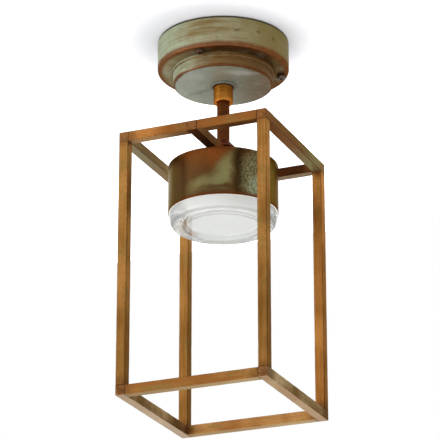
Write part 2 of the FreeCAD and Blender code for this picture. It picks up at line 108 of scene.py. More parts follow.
def rounded(corners, steps=6):
    """The closed outline through corners (radius, height, rounding), in mm."""
    line = []
    for i, (r, z, rounding) in enumerate(corners):
        here = Vector((r, z))
        if not rounding:
            line.append(here)
            continue
        before = Vector(corners[i - 1][:2]) - here
        after = Vector(corners[(i + 1) % len(corners)][:2]) - here
        back_way, on_way = before.normalized(), after.normalized()
        half = before.angle(after) / 2
        cut = rounding / math.tan(half)
        start, finish = here + back_way * cut, here + on_way * cut
        centre = here + (back_way + on_way).normalized() * rounding / math.sin(half)
        sweep = math.pi - 2 * half
        if before.length > cut + 2 * HOLD:
            line.append(start + back_way * HOLD)
        for k in range(steps + 1):
            a = math.sin((1 - k / steps) * sweep) / math.sin(sweep)
            b = math.sin(k / steps * sweep) / math.sin(sweep)
            line.append(centre + (start - centre) * a + (finish - centre) * b)
        if after.length > cut + 2 * HOLD:
            line.append(finish + on_way * HOLD)
    return line


print(len(rounded([(0, 0, 0), (5, 0, 1), (5, 3, 1), (0, 3, 0)])), "points in a small disc's outline")

# %% [markdown]
# ## Spinning an outline
#
# A spin could be a modifier, but building the rings one by one lets one ring be a hexagon while
# its neighbour is a circle, which is how the screws get their sockets. Points on the axis become a
# single pole, so no face has a zero-length side.

# %% Spin an outline into rings of points, and join the rings
def hexagon_reach(angle):
    """How far a hexagon reaches at this angle, if its flats are 1 from the middle."""
    return 1 / math.cos((angle + math.pi / 6) % (math.pi / 3) - math.pi / 6)


def skin(rings):
    """The faces between each ring and the next. A ring of one point is a pole."""
    faces = []
    for low, high in zip(rings, rings[1:]):
        for k in range(max(len(low), len(high))):
            face = list(dict.fromkeys([low[k % len(low)], low[(k + 1) % len(low)],
                                       high[(k + 1) % len(high)], high[k % len(high)]]))
            if len(face) > 2:
                faces.append(face)
    return faces


def spin(outline, segments=256, centre=(0, 0), hexagons=(), mesh_data=None):
    """Adds the spun outline to mesh_data, which holds vertices and faces. Points whose number is
    in hexagons give a hexagon's ring."""
    points, faces = mesh_data or ([], [])
    rings = []
    for number, (radius, height) in enumerate(outline):
        ring = []
        for k in range(segments if radius > 1e-6 else 1):
            angle = 2 * math.pi * k / segments
            reach = radius * (hexagon_reach(angle) if number in hexagons else 1)
            ring.append(len(points))
            points.append(((centre[0] + reach * math.cos(angle)) * MM,
                           (centre[1] + reach * math.sin(angle)) * MM, height * MM))
        rings.append(ring)
    faces.extend(skin(rings + rings[:1]))
    return points, faces


print(len(spin([(0, 0), (5, 0), (5, 3), (0, 3)], 12)[1]), "faces in a disc of 12 segments")

# %% [markdown]
# ## Placing a piece
#
# Every piece stands for a CAD node, rides on that node's body and gets a finish of its own. Only
# the braze has no node: it rides on the lantern with the bars. Faces are smooth, apart from edges
# sharper than the crease angle, and are turned outwards first.

# %% Place a piece
def place(name, mesh_data, finish, *nodes, crease=38):
    """One object that stands for its nodes, on the body of the first."""
    mesh = bpy.data.meshes.new(name)
    mesh.from_pydata(mesh_data[0], [], mesh_data[1])
    work = bmesh.new()
    work.from_mesh(mesh)
    bmesh.ops.recalc_face_normals(work, faces=work.faces)
    work.to_mesh(mesh)
    work.free()
    for face in mesh.polygons:
        face.use_smooth = True
    mesh.set_sharp_from_angle(angle=math.radians(crease))
    mesh.materials.append(finish)
    made = new_object(name, mesh)
    if nodes:
        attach(made, body_of[nodes[0]])
        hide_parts(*nodes)
    else:
        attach(made, "lantern")
    print(name, len(mesh.polygons), "faces")


def reach_of(node):
    """A node's radius about the axis, its lowest and its highest z, in mm."""
    low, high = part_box(node)
    return high.x / MM, low.z / MM, high.z / MM


print("the drum reaches", [round(c, 1) for c in reach_of("drum_shell")], "mm")

# %% [markdown]
# ## Colour and nodes
#
# Colours are written as the sRGB hex values that a paint chart would give, and turned to the
# linear values that the shaders use. Patterns are sized in millimetres: a noise of scale 1 has
# features about a metre wide here, so a pattern of s mm needs a scale of 1000 / s. The CAD frame
# never moves, so Object coordinates are places on the real lantern, in metres.

# %% Colour, scale and node helpers
def linear(code):
    """An sRGB hex colour as linear RGBA."""
    parts = [int(code[i:i + 2], 16) / 255 for i in (1, 3, 5)]
    return [c / 12.92 if c <= 0.04045 else ((c + 0.055) / 1.055) ** 2.4 for c in parts] + [1.0]


def per(size_mm):
    """The noise scale that gives features of this size."""
    return 1000 / size_mm


def node(tree, kind, inputs=None, out=0, **settings):
    """Adds a node with its settings and links, and returns one of its outputs."""
    made = tree.nodes.new("ShaderNode" + kind)
    for name, value in settings.items():
        setattr(made, name, value)
    for name, value in (inputs or {}).items():
        if isinstance(value, bpy.types.NodeSocket):
            tree.links.new(value, made.inputs[name])
        else:
            made.inputs[name].default_value = value
    return made.outputs[out]


def start_finish(name, **constants):
    """A new material, what adds a node to it, and the place on the lantern."""
    material = bpy.data.materials.new(name)
    material.use_nodes = True
    for socket, value in constants.items():
        material.node_tree.nodes["Principled BSDF"].inputs[socket.replace("_", " ")].default_value = value
    add = partial(node, material.node_tree)
    return material, add, add("TexCoord", out="Object")


def feed(material, **sources):
    """Links each source to the shader's socket of its name, and returns the material."""
    tree = material.node_tree
    for socket, source in sources.items():
        tree.links.new(source, tree.nodes["Principled BSDF"].inputs[socket.replace("_", " ")])
    print(material.name, "has", len(tree.nodes), "nodes")
    return material


print("brass in linear light", [round(c, 3) for c in linear("#A9763B")])

# %% [markdown]
# ## Masks and layers
#
# A patina is layers of colour, each with its own mask. A mask could be painted, but a painted one
# can't be reused. Here a mask is a product of fades: each says how far some value, such as a
# noise, a height or a distance, has come from one number to another. The wall of a round piece is
# unrolled into a flat map, so that a patch can be given its place, size and lean in millimetres.

# %% Masks, layers and maps
FRONT = -math.pi / 2 + YAW      # the side that the light was set for, from +X round the axis


def mask(add, *fades):
    """All fades multiplied. A fade is (value, start, end), with the share at its start and at its
    end where they aren't 0 and 1, or else a ready share."""
    whole = None
    for fade in fades:
        if not isinstance(fade, bpy.types.NodeSocket):
            value, start, end, low, high = fade if len(fade) == 5 else (*fade, 0, 1)
            fade = add("MapRange", {0: value, 1: start, 2: end, 3: low, 4: high},
                       interpolation_type="SMOOTHSTEP")
        whole = fade if whole is None else add("Math", {0: whole, 1: fade}, operation="MULTIPLY")
    return whole


def lay(add, colour, *layers):
    """The colour, with each layer laid over it in turn. A layer is its colour and its fades."""
    for tone, *fades in layers:
        below, above = (linear(c) if isinstance(c, str) else c for c in (colour, tone))
        colour = add("Mix", {0: mask(add, *fades), 6: below, 7: above}, out=2, data_type="RGBA")
    return colour


def nudged(add, value, *noises):
    """The value, moved by each (noise, weight)."""
    for source, weight in noises:
        value = add("Math", {0: source, 1: weight, 2: value}, operation="MULTIPLY_ADD")
    return value


def from_axis(add, spot):
    """How far a place is from the lantern's axis."""
    flat = add("VectorMath", {0: spot, 1: (1, 1, 0)}, operation="MULTIPLY")
    return add("VectorMath", {0: flat}, out="Value", operation="LENGTH")


def from_circle(add, radius, height, circle_radius, circle_height):
    """How far a place of this radius and height is from a circle round the axis, given in mm."""
    in_outline = add("CombineXYZ", {0: radius, 1: height})
    return add("VectorMath", {0: in_outline, 1: (circle_radius * MM, circle_height * MM, 0)},
               out="Value", operation="DISTANCE")


def unrolled(add, spot, radius_mm):
    """The way round the wall from its front, the places to the right and to the front, the height
    and the radius, in metres."""
    turned = add("VectorRotate", {"Vector": spot, "Angle": -FRONT}, rotation_type="Z_AXIS")
    part = add("SeparateXYZ", {0: turned}).node.outputs
    angle = add("Math", {0: part["Y"], 1: part["X"]}, operation="ARCTAN2")
    arc = add("Math", {0: angle, 1: radius_mm * MM}, operation="MULTIPLY")
    return arc, part["Y"], part["X"], part["Z"], from_axis(add, spot)


def ragged_map(add, across, up, warp, bend):
    """A flat map of two directions, its places moved by a warp so that patches get ragged edges."""
    flat = add("CombineXYZ", {0: across, 1: up})
    return add("VectorMath", {0: warp, 1: (*bend, 0), 2: flat}, operation="MULTIPLY_ADD")


def blot(add, where, centre, size, lean=0.0, soft=0.5, share=1.0):
    """The fade of a patch round a place of a map, both in mm, leaning by some degrees."""
    local = add("Mapping", {"Vector": where, "Location": (centre[0] * MM, centre[1] * MM, 0),
                            "Rotation": (0, 0, math.radians(lean)),
                            "Scale": (size[0] * MM, size[1] * MM, 1)}, vector_type="TEXTURE")
    away = add("VectorMath", {0: local}, out="Value", operation="LENGTH")
    return away, 1 + soft, 1 - soft, 0, share


print("the lit side is at", round(math.degrees(FRONT)), "degrees")

# %% [markdown]
# ## Finish: patinated brass of the rose
#
# The rose is spun and turned brass, coloured by an acid patina and then waxed. The patina is sage
# green where it is thick and olive brown where it is thin, in soft clouds, and it keeps faint
# rings from the lathe. Its colours also go from lighter on the left of the lit side to darker on
# its right, which is partly painted light. It is rubbed through to coppery metal along the lower
# edges, and those bright edge lines are partly a painted highlight where the rounded edges catch
# the light. So three things are mixed: clouds some 20 mm wide, streaks that follow the turning,
# and edge masks taken from the distance to each edge's circle. Real turning marks are a tenth of a
# millimetre apart and would not show, so these are drawn about 2.6 mm apart. Patina is an oxide,
# so it is only partly metallic, and a brown specular tint keeps white light off its steepest edges.

# %% Patinated brass
EDGE_MASK_IN = 1.6                 # mm that the clouds move an edge's mask inwards, on average
DRIFT = 0.050                   # m that the clouds move the change from left to right
RING_GAP, RING_LENGTH = 2.6, 30
DOWN = (-0.75, -0.95)           # the fade of faces that look down, by the Z of their normal


def patina_brass(name, radius_mm, wall_colours, streak, under_colours, edges, patches=(), spots=(),
                 smears_and_reflections=(), top_line=None, bare_floor=0.3):
    """Turned, patinated brass. The colours go from the left of the lit side to its right, lighter on
    the left, which is partly painted light. Edges are the (radius, height, width, colour) of circles
    that are rubbed bright, partly as a painted highlight. Patches and spots are places of brown and
    of dark pooled acid on the wall, and smears are wiped places of the floor, and one of the dish's
    is a painted reflection of the stem, to the right and to the front. All are in mm."""
    material, add, spot = start_finish(name, Specular_IOR_Level=0.35, Specular_Tint=linear("#D8C8A8"))
    arc, sideways, forward, z, radius = unrolled(add, spot, radius_mm)
    clouds = add("TexNoise", {"Vector": spot, "Scale": per(20), "Detail": 5, "Roughness": 0.62})
    mottle = add("TexNoise", {"Vector": spot, "Scale": per(6), "Detail": 5, "Roughness": 0.65})
    long = per(RING_LENGTH)
    along = add("VectorMath", {0: spot, 1: (long, long, per(RING_GAP))}, operation="MULTIPLY")
    across = add("Math", {0: radius, 1: per(RING_GAP)}, operation="MULTIPLY")
    rings = add("TexNoise", {"Vector": along, "W": across, "Scale": 1, "Detail": 4}, noise_dimensions="4D")
    reach = radius_mm * MM
    drift = nudged(add, sideways, (clouds, DRIFT), (1, -DRIFT / 2))
    # the colours change from the left of the lit side to its right; the lighter left is partly painted light
    wall, floor = (lay(add, left, (middle, (drift, reach * -0.95, reach * -0.1)),
                       (right, (drift, reach * -0.05, reach * 0.85)))
                   for left, middle, right in (wall_colours, under_colours))
    # patches that a brush of acid left brown, and spots where it pooled
    ragged = add("TexNoise", {"Vector": spot, "Scale": per(9), "Detail": 4}, out="Color")
    warp = add("VectorMath", {0: ragged, 1: (0.5, 0.5, 0.5)}, operation="SUBTRACT")
    wall_map = ragged_map(add, arc, z, warp, (0.016, 0.008))
    wall = lay(add, wall, (streak, (mottle, 0.38, 0.68, 0, 0.30)), (streak, (rings, 0.52, 0.70, 0, 0.45)),
               *((streak, blot(add, wall_map, centre, size, lean),
                  (rings, 0.36, 0.60, 0.25 * share, share)) for centre, size, lean, share in patches),
               *(("#4B3315", blot(add, wall_map, centre, size, soft=0.6, share=0.6))
                 for centre, size in spots))
    # the faces that look down
    floor_map = ragged_map(add, sideways, forward, warp, (0.014, 0.010))
    floor = lay(add, floor, ("#7C7A62", (mottle, 0.35, 0.75, 0, 0.30)),
                ("#B9BDAE", (clouds, 0.50, 0.72, 0, 0.30)),
                *((tone, blot(add, floor_map, centre, size, lean, 0.7, 0.5))
                  for centre, size, lean, tone in smears_and_reflections))
    facing = add("SeparateXYZ", {0: add("TexCoord", out="Normal")}, out="Z")
    colour = lay(add, wall, (floor, (facing, *DOWN)))
    # edges that hands and cloths have rubbed, partly a painted highlight where the rounded edges catch the
    # light
    rubbed = None
    for edge_radius, height, width, shine in edges:
        away = nudged(add, from_circle(add, radius, z, edge_radius, height), (clouds, -2 * EDGE_MASK_IN * MM))
        bare_and_highlit = mask(add, (away, (width - EDGE_MASK_IN) * MM, (width * 0.3 - EDGE_MASK_IN) * MM, 0, 0.9))
        colour = lay(add, colour, (lay(add, shine, ("#6B3B1E", (mottle, 0.35, 0.7))), bare_and_highlit))
        rubbed = bare_and_highlit if rubbed is None else add("Math", {0: rubbed, 1: bare_and_highlit}, operation="MAXIMUM")
    if top_line is not None:
        colour = lay(add, colour, ("#4A3216", (z, (top_line - 1.0) * MM, (top_line - 0.2) * MM)))
    # a floor's thin patina shows more metal, from the lit side's middle to its right
    thin = mask(add, (facing, *DOWN, 0, bare_floor), (drift, reach * -0.9, reach * -0.2))
    lustre = add("Math", {0: mask(add, (rubbed, 0, 1, 0.30, 0.85)), 1: thin}, operation="MAXIMUM")
    return feed(material, Base_Color=colour, Metallic=lustre,
                Roughness=add("MapRange", {0: clouds, 1: 0.3, 2: 0.7, 3: 0.38, 4: 0.54}),
                Normal=add("Bump", {"Strength": 0.3, "Distance": 0.2 * MM, "Height": rings}))


print("the lathe's rings are drawn", RING_GAP, "mm apart")

# %% [markdown]
# ## The rose
#
# The upper tier is a shallow cup with its open side against the ceiling. The lower tier is a
# dish, set in from the cup, with a narrow step band at its top and a flat floor that the stem
# comes through. Both are lathe work, so both are spun. The lower edges are rounded by 2 mm and
# more, because they catch the light as bright copper-coloured lines.

# %% Colour the rose
cup_radius, ledge_z, cup_top = reach_of("rose_cup")
band_radius, dish_z, spigot_top = reach_of("rose_dish")
BAND_HEIGHT, BAND_STEP = 3.8, 1.6
dish_radius = band_radius - BAND_STEP
band_z = ledge_z - BAND_HEIGHT
middle = (cup_top + ledge_z) / 2
cup_brass = patina_brass(
    "patinated brass, cup", cup_radius, ("#A0AD92", "#A09C7A", "#7E7238"), "#7E683E",
    ("#86784E", "#5E3C16", "#62462A"), [(cup_radius, ledge_z, 7.4, "#7E4828")],
    patches=(((-24, middle + 5), (30, 9), 3, 0.9), ((8, middle - 2), (20, 7), -4, 0.35),
             ((48, middle - 3), (16, 11), 20, 0.45), ((130, middle), (40, 10), 0, 0.7),
             ((-140, middle + 3), (45, 9), 4, 0.7)),
    spots=(((13, middle + 1), (2.4, 1.4)), ((37, middle + 2), (2.4, 1.6)), ((58, middle + 1), (2.4, 1.7)),
           ((-5, middle - 7), (1.6, 1.0)), ((-96, middle + 4), (3.0, 1.6)), ((165, middle - 2), (3.2, 1.8))),
    smears_and_reflections=(((-60, 6), (5, 16), 10, "#A6A48C"), ((-54, 26), (7, 5), -30, "#9C967A"),
            ((-61, -18), (4, 9), -10, "#7A5A34")),
    top_line=cup_top, bare_floor=0.85)
dish_brass = patina_brass(
    "patinated brass, dish", band_radius, ("#AEB89C", "#8A7046", "#664C26"), "#76562E",
    ("#AEB8AC", "#98A192", "#745E48"),
    [(band_radius, band_z, 1.4, "#8C6A40"), (dish_radius, dish_z, 3.4, "#6E4222")],
    patches=(((6, band_z - 6), (36, 6), 0, 0.95), ((62, band_z - 5), (24, 7), 0, 0.8)),
    # the dark leaning smear at (-22, -14) is a painted reflection of the stem, not a wipe
    smears_and_reflections=(((17, 33), (15, 5), -8, "#C9CDC4"), ((-22, -14), (17, 3.5), 32, "#6F7A66"),
            ((34, 18), (16, 3), 30, "#6A6A50"), ((10, 12), (12, 3), 35, "#7C8474"),
            ((-30, 22), (12, 8), 0, "#C0C6BA")))

# %% Spin the rose
WALL, DISH_FLOOR = 2.5, 3.0      # thickness of both walls, and of the dish's floor
CUP_ROUND, DISH_ROUND = 2.5, 2.2
spigot_radius = dish_radius - 0.6
bush_hole = reach_of("swivel_washer")[0] - 4.6
place("rose_cup_turned", spin(rounded([
    (cup_radius, cup_top, 0.3), (cup_radius, ledge_z, CUP_ROUND), (spigot_radius, ledge_z, 0),
    (spigot_radius, ledge_z + WALL, 0), (cup_radius - WALL, ledge_z + WALL, 1.0),
    (cup_radius - WALL, cup_top, 0.3)])), cup_brass, "rose_cup")
place("rose_dish_turned", spin(rounded([
    (spigot_radius, spigot_top, 0), (spigot_radius, ledge_z, 0), (band_radius, ledge_z - 0.05, 0.15),
    (band_radius, band_z, 0.8), (dish_radius, band_z, 0.3), (dish_radius, dish_z, DISH_ROUND),
    (bush_hole, dish_z, 0), (bush_hole, dish_z + DISH_FLOOR, 0),
    (dish_radius - WALL, dish_z + DISH_FLOOR, 1.0), (dish_radius - WALL, spigot_top, 0)])),
    dish_brass, "rose_dish")

# %% [markdown]
# ## Finish: stainless steel screws
#
# Three domed screws with hexagon sockets pull the rose up to its plate. Stainless steel with a
# tumbled surface is metallic with a medium roughness and a faint warm grey. A brown painted shade
# fades in across the front towards the front screw, which lies in the shade of the cup's lower edge.
# The dome is an outline with a large rounding, and the socket is a hexagon's ring that joins
# straight on to the round ones.

# %% Make plain metals and mouldings
def metal(name, colour, other, roughness, pattern_mm, bump_mm=0.0, painted_shade=None, metallic=1.0, **constants):
    """A plain metal or moulding with a mild mottle between two colours, and perhaps a painted shade of
    some colour that fades in between two places across the front, in mm."""
    material, add, spot = start_finish(name, Metallic=metallic, **constants)
    mottle = add("TexNoise", {"Vector": spot, "Scale": per(pattern_mm), "Detail": 6})
    tint = lay(add, colour, (other, add("MapRange", {0: mottle, 1: 0.25, 2: 0.75})))
    if painted_shade:
        # painted shade: a tone that fades in between two places across the front
        unshaded, shaded, tone = painted_shade
        sideways = add("SeparateXYZ", {0: spot}, out="X")
        tint = lay(add, tint, (tone, (sideways, unshaded * MM, shaded * MM, 0, 0.8)))
    sources = {"Base_Color": tint, "Roughness": add("MapRange", {
        0: mottle, 1: 0.3, 2: 0.7, 3: roughness * 0.85, 4: roughness * 1.2})}
    if bump_mm:
        sources["Normal"] = add("Bump", {"Strength": 0.6, "Distance": bump_mm * MM, "Height": mottle})
    return feed(material, **sources)


stainless = metal("stainless steel, tumbled", "#84766A", "#4A3E34", 0.42, 2.0)
# the brown towards the front screw is painted shade
shaded_stainless = metal("stainless steel, dirty", "#84766A", "#4A3E34", 0.45, 2.0, painted_shade=(20, 6, "#4E3420"))

# %% Make the rose screws
SCREW_COUNT, SCREW_FIRST = 3, -90
HEAD_RADIUS, HEAD_HEIGHT, SHANK_RADIUS = 4.8, 3.2, 2.45
SOCKET_FLAT, SOCKET_DEPTH, SOCKET_BREAK = 1.7, 2.0, 0.25
screw_low, screw_high = reach_of("rose_screws")[1:]
screw_circle = -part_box("rose_screws")[0].y / MM - HEAD_RADIUS
head_seat = screw_low + HEAD_HEIGHT
screw_outline = [(0, screw_low + SOCKET_DEPTH), (SOCKET_FLAT, screw_low + SOCKET_DEPTH),
                 (SOCKET_FLAT, screw_low + SOCKET_BREAK), (SOCKET_FLAT + SOCKET_BREAK, screw_low)]
screw_outline += rounded([(2.6, screw_low, 0), (HEAD_RADIUS * 0.86, screw_low + 0.75, 1.4),
                          (HEAD_RADIUS, head_seat - 0.9, 0.3), (HEAD_RADIUS, head_seat, 0.2)], 8)[:-1]
screw_outline += [(SHANK_RADIUS, head_seat), (SHANK_RADIUS, screw_high - 0.5),
                  (SHANK_RADIUS - 0.5, screw_high), (0, screw_high)]
screws = ([], [])
for number in range(SCREW_COUNT):
    angle = math.radians(SCREW_FIRST + 360 / SCREW_COUNT * number)
    centre = (screw_circle * math.cos(angle), screw_circle * math.sin(angle))
    spin(screw_outline, 48, centre, (1, 2), screws)
place("rose_screws_domed", screws, shaded_stainless, "rose_screws")

# %% [markdown]
# ## Finishes of the collar and the stem
#
# The collar was polished and lacquered, and has stayed a warm orange brass. The stem is the same
# metal, left bare and gone dark brown. Lacquer is a clear coat, so the collar gets a thin one. The
# washer over the collar is black nylon, and dust has turned its outer edge to the rose's grey.

# %% Finish the collar, the stem and the nylon washer
def lathed_brass(name, colour, other, roughness, coat, edge_tint="#E0B888"):
    """Brass with fine turning marks, drawn 1.6 mm apart and ten times as long so that they show."""
    material, add, spot = start_finish(name, Metallic=0.9, Coat_Weight=coat, Coat_Roughness=0.2,
                                       Specular_Tint=linear(edge_tint))
    stretched = add("VectorMath", {0: spot, 1: (60, 60, per(1.6))}, operation="MULTIPLY")
    marks = add("TexNoise", {"Vector": stretched, "Scale": 1, "Detail": 4})
    share = add("MapRange", {0: marks, 1: 0.25, 2: 0.75})
    return feed(material, Base_Color=lay(add, colour, (other, share)),
                Roughness=add("MapRange", {0: marks, 3: roughness * 0.8, 4: roughness * 1.25}),
                Normal=add("Bump", {"Strength": 0.3, "Distance": 0.1 * MM, "Height": marks}))


collar_brass = lathed_brass("lacquered brass", "#F6A648", "#B87026", 0.27, 0.05, "#A8643C")
stem_brass = lathed_brass("darkened brass tube", "#6A3A1A", "#4A2711", 0.42, 0.0)
washer_nylon, add, spot = start_finish("black nylon washer, dusty", Roughness=0.6, Specular_IOR_Level=0.15)
dust = add("TexNoise", {"Vector": spot, "Scale": per(2.5), "Detail": 4})
out_from_axis = nudged(add, from_axis(add, spot), (dust, 0.0012))
dusty = (out_from_axis, 10.8 * MM, 12.6 * MM, 0, 0.9)
feed(washer_nylon, Base_Color=lay(add, "#100D0A", ("#8C8C7E", dusty)))

# %% Turn the collar, the stem and the washer
STEM_BORE = 4.5
collar_radius, collar_low, collar_high = reach_of("collar")
stem_radius, stem_low, stem_high = reach_of("stem")
washer_radius, washer_low, washer_high = reach_of("swivel_washer")
place("collar_turned", spin(rounded([
    (stem_radius + 0.05, collar_low, 0), (stem_radius + 0.05, collar_high, 0),
    (collar_radius, collar_high, 0.7), (collar_radius, collar_low, 0.7)]), 128), collar_brass, "collar")
place("stem_tube", spin(rounded([
    (STEM_BORE, stem_low, 0), (STEM_BORE, stem_high, 0.3), (stem_radius, stem_high, 0.5),
    (stem_radius, stem_low, 0.1)]), 96), stem_brass, "stem")
place("swivel_washer_moulded", spin(rounded([
    (stem_radius + 0.4, washer_low, 0.2), (stem_radius + 0.4, washer_high, 0.2),
    (washer_radius, washer_high, 0.3), (washer_radius, washer_low, 0.5)]), 128),
    washer_nylon, "swivel_washer")

# %% [markdown]
# ## Finish: bronzed square bar
#
# The cage is drawn brass bar, bronzed to a golden brown and brushed along its length. Greenish
# streaks show in the bronzing, a broken line of painted shade darkens each arris, and each joint
# is darker and redder, from the brazing torch. The brushing follows each bar, and one recipe is
# used with its own colours for each place in the cage. Those colours are partly the bar's own
# ageing and partly painted light: the crossbar and the back top rails, which lie in shade under
# the rose, are painted dark, and the bars in the light are painted lighter. Brushing lines are
# finer than a tenth of a millimetre, and are drawn 1.8 mm apart so that they show. One mask serves
# all the corners: folding space over with ABSOLUTE makes all eight corners one place, and the
# distance to it tells how hot the metal was. The faces that look down are chalky, so they are less
# metallic, and the sawn ends are redder.

# %% Measure the cage
BAR = 10.0
ALONG_X, ALONG_Y, ALONG_Z = 0, 1, 2
cage_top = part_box("crossbar")[1].z / MM
cage_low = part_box("rail_bottom_left")[0].z / MM
half_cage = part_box("rail_top_right")[1].x / MM
half_height = (cage_top - cage_low) / 2
cage_middle = Vector((0, 0, (cage_top + cage_low) / 2)) * MM
corner = Vector((half_cage - BAR / 2, half_cage - BAR / 2, half_height - BAR / 2)) * MM
cross_end = Vector((0, corner.y, (cage_top - BAR / 2) * MM))
ANY_HEIGHT = -999
# where the ends of the bars that run along X, Y and Z meet others: the direction, how far that
# is from the cage's middle, and the lowest height of it, in mm
SEAMS = ((("X", half_cage - BAR, ANY_HEIGHT), ("X", BAR / 2, cage_top - 2 * BAR)), (),
         (("Z", half_height - BAR, ANY_HEIGHT),))
print("the cage is", round(2 * half_cage), "mm wide and", round(2 * half_height), "mm tall")


# %% Bronzed bar, for one direction
LINE_GAP, LINE_LENGTH = 1.8, 60
DARK_GRAIN = (0.35, 0.65)       # the fade between the two tones of a burnt or a sawn face


def bronzed_bar(name, direction, dark, light, green_share, under=("#8A7A58", "#A29470"), chalk=1.0,
                far_green=0.0, red_middle=0.0, centre_x=None):
    """Bronzed bar that runs along one axis. The colours under are those of the face that looks
    down, from the low end of the axis to its high end, chalk is how dull that face is, far_green
    is the share of green streaks at the back end, red_middle is how red the torch left the
    middle, and centre_x is the bar's middle line, if it isn't in a side of the cage."""
    material, add, spot = start_finish(name, Specular_IOR_Level=0.2, Specular_Tint=linear("#E6D6BC"))
    stretch = [per(LINE_GAP)] * 3
    stretch[direction] = per(LINE_LENGTH)
    drawn = add("VectorMath", {0: spot, 1: stretch}, operation="MULTIPLY")
    lines = add("TexNoise", {"Vector": drawn, "Scale": 1, "Detail": 5, "Roughness": 0.62})
    patches, tones, grain = (
        add("TexNoise", {"Vector": spot, "Scale": per(size), "Detail": detail, "Roughness": rough})
        for size, detail, rough in ((24, 4, 0.6), (55, 2, 0.5), (1.8, 5, 0.7)))
    place_on = add("SeparateXYZ", {0: spot}).node.outputs
    run, height = place_on["XYZ"[direction]], place_on["Z"]
    facings = add("SeparateXYZ", {0: add("TexCoord", out="Normal")}).node.outputs
    tone = nudged(add, 0, (tones, 0.65), (lines, 0.35))
    green = nudged(add, 0, (patches, 0.45), (grain, 0.25), (lines, 0.55))
    colour = lay(add, dark, (light, (tone, 0.37, 0.62)), (dark, (grain, 0.49, 0.63, 0, 0.5)),
                 (dark, (patches, 0.52, 0.64, 0, 0.35)), ("#8C8048", (green, 0.62, 0.80, 0, green_share)))
    if far_green:
        far = mask(add, (nudged(add, run, (lines, 0.20)), 0.115, 0.165, 0, far_green))
        colour = lay(add, colour, ("#8C8A5C", far))
    # heat at the cage's corners, and where the crossbar ends
    folded = add("VectorMath", {0: spot, 1: cage_middle}, operation="SUBTRACT")
    folded = add("VectorMath", {0: folded}, operation="ABSOLUTE")
    part = add("SeparateXYZ", {0: folded}).node.outputs
    half_folded = add("CombineXYZ", {0: part["X"], 1: part["Y"], 2: height})
    heats = []
    for where, joint, most in ((folded, corner, 0.65), (half_folded, cross_end, 0.35)):
        away = add("VectorMath", {0: where, 1: joint}, out="Value", operation="DISTANCE")
        heats.append(mask(add, (nudged(add, away, (patches, -0.016)), 9.0 * MM, -1.0 * MM, 0, most)))
    heat = add("Math", {0: heats[0], 1: heats[1]}, operation="MAXIMUM")
    burnt = lay(add, "#623A1E", ("#9A6636", (grain, *DARK_GRAIN)))
    # the sawn ends, and the face that looks down
    sawn = add("Math", {0: facings["XYZ"[direction]]}, operation="ABSOLUTE")
    cut = lay(add, "#7E4E2C", ("#A4703E", (grain, *DARK_GRAIN)))
    down = add("MapRange", {0: facings["Z"], 1: -0.7, 2: -0.95, 4: 0.8})
    below = lay(add, under[0], (under[1], (nudged(add, run, (patches, 0.12)), 0.02, 0.11)),
                (dark, (grain, 0.46, 0.62, 0, 0.4)))
    colour = lay(add, colour, (burnt, heat), (cut, (sawn, 0.7, 0.9, 0, 0.85)), (below, down))
    if far_green:
        colour = lay(add, colour, ("#8C8A5C", down, far))
    if red_middle:
        from_stem = nudged(add, add("Math", {0: run}, operation="ABSOLUTE"), (patches, -0.012))
        colour = lay(add, colour, ("#8A4420", (from_stem, 30 * MM, 4 * MM, 0, red_middle)))
    # painted shade in a broken line along each arris
    own_middle = corner if centre_x is None else Vector((centre_x, corner.y, corner.z))
    off_middle = add("VectorMath", {0: folded, 1: own_middle}, operation="SUBTRACT")
    off_middle = add("VectorMath", {0: off_middle}, operation="ABSOLUTE")
    sides = add("SeparateXYZ", {0: off_middle}).node.outputs
    across = [sides[k] for k in range(3) if k != direction]
    nearer = add("Math", {0: across[0], 1: across[1]}, operation="MINIMUM")
    arris_shade = (nudged(add, nearer, (grain, 1.6 * MM)), (BAR / 2 - 0.1) * MM, (BAR / 2 + 0.7) * MM, 0, 0.55)
    colour = lay(add, colour, ("#4A2C12", arris_shade))
    # a dark line of flux along each butted face
    for axis, face, lowest in SEAMS[direction]:
        off = add("Math", {0: part[axis], 1: face * MM}, operation="SUBTRACT")
        off = add("Math", {0: off}, operation="ABSOLUTE")
        high_enough = add("Math", {0: height, 1: lowest * MM}, operation="GREATER_THAN")
        colour = lay(add, colour, ("#2E1B0C", (off, 0.85 * MM, 0.25 * MM, 0, 0.75), high_enough))
    return feed(material, Base_Color=colour,
                Metallic=add("MapRange", {0: down, 2: 0.8, 3: 0.92, 4: 0.92 - 0.52 * chalk}),
                Roughness=add("MapRange", {0: grain, 1: 0.3, 2: 0.7, 3: 0.36, 4: 0.52}),
                Normal=add("Bump", {"Strength": 0.25, "Distance": 0.12 * MM, "Height": lines}))


print("the brushed lines are drawn", LINE_GAP, "mm apart")

